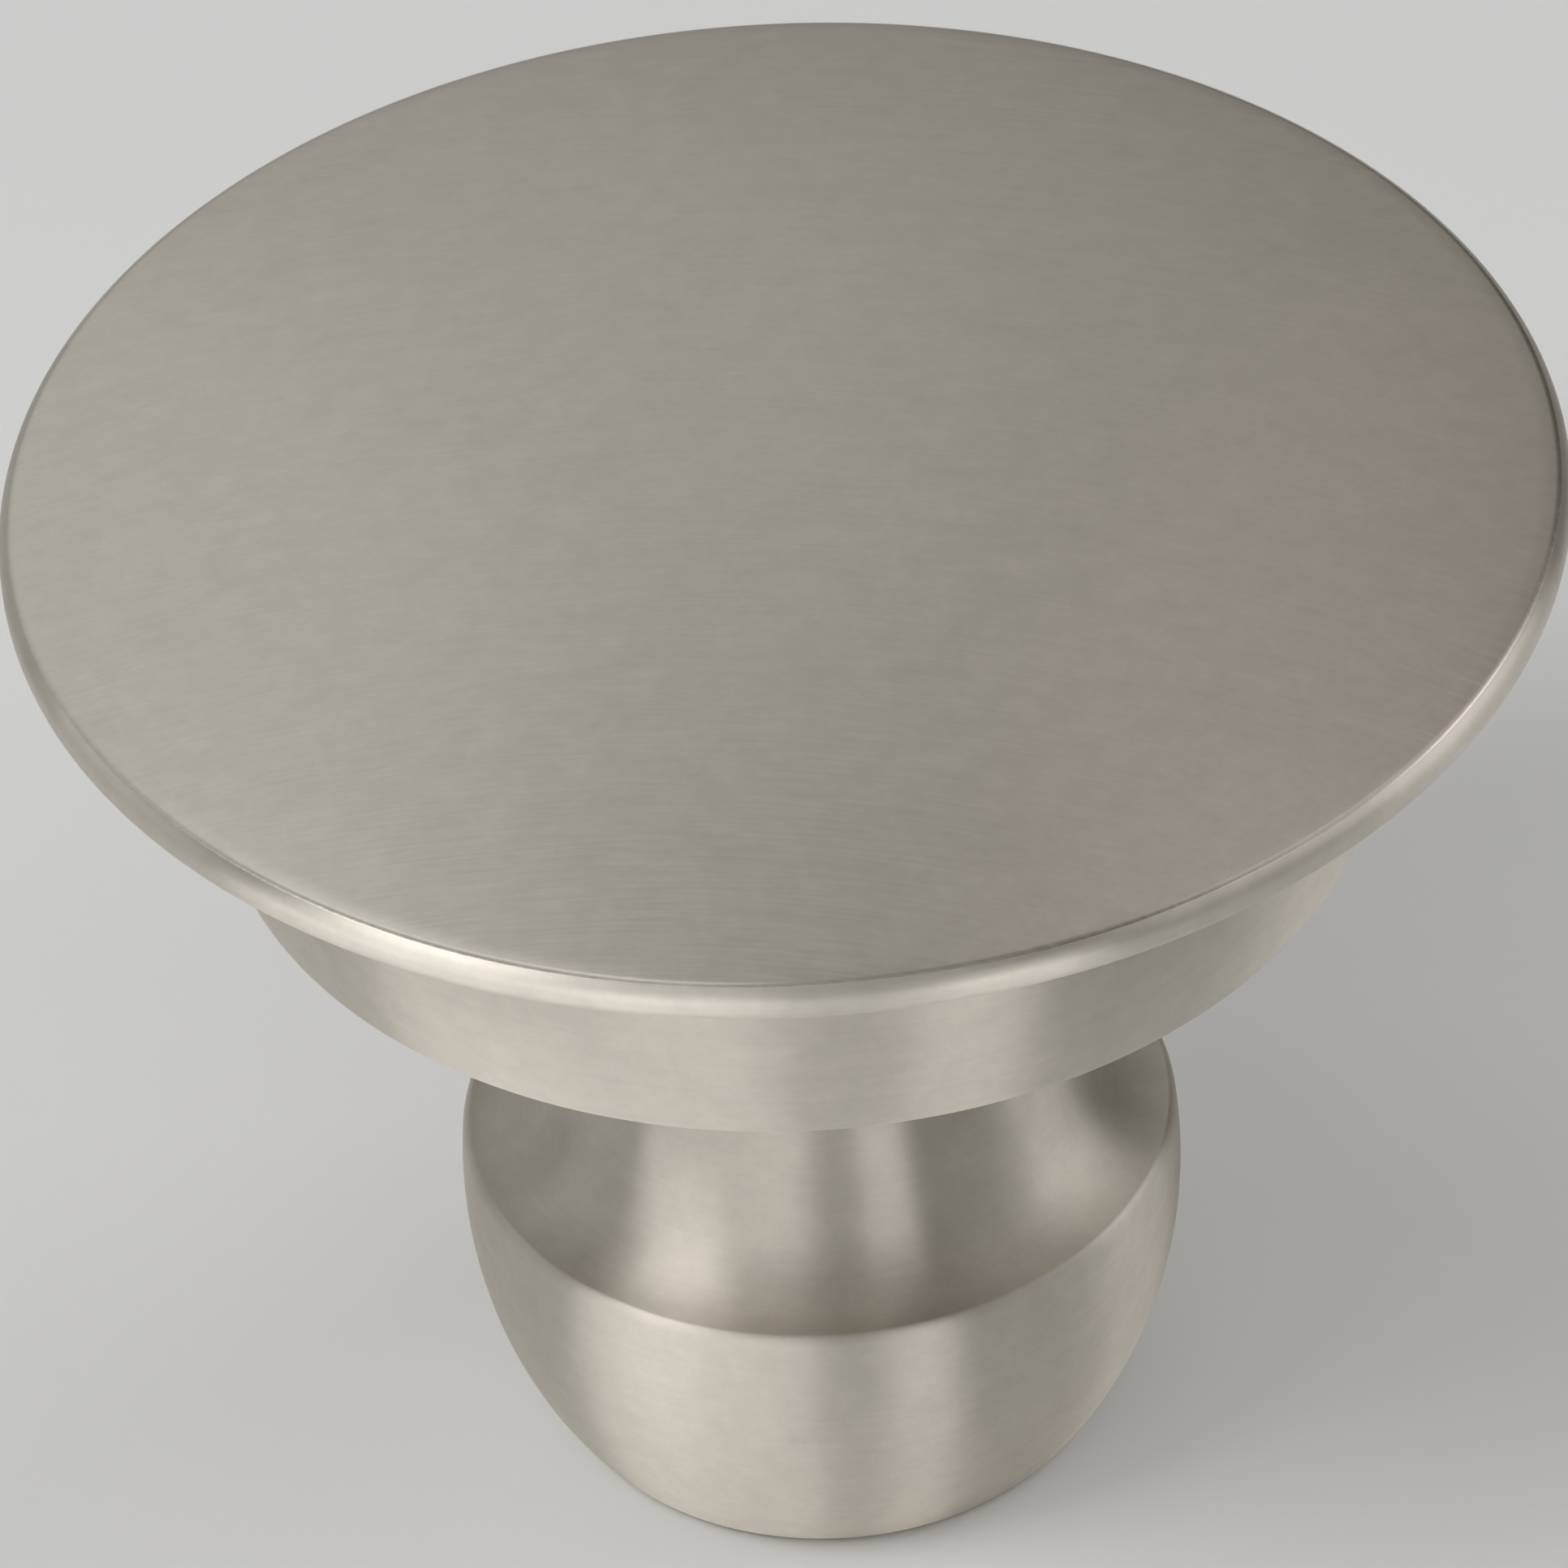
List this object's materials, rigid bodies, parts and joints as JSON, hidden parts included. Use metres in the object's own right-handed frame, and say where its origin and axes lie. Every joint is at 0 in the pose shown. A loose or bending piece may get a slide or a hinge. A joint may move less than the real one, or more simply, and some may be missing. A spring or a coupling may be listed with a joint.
{
  "type": "cabinet knob",
  "caption": "Round pull knob for a cabinet door or drawer: domed disc head over a shallow cup, waisted neck and rounded base with a tapped hole, in satin nickel.",
  "frame": {"origin": "centre of the flat mounting foot, on the knob's axis", "axes": "+Z along the knob's axis, from the foot towards the domed face; the form is turned, so +X and +Y are free"},
  "size_m": [0.032, 0.032, 0.0254],
  "materials": {
    "satin_nickel": "brushed satin nickel plate on a zinc casting"
  },
  "bodies": {
    "root": {"knob_body": "satin_nickel"}
  },
  "joints": []
}
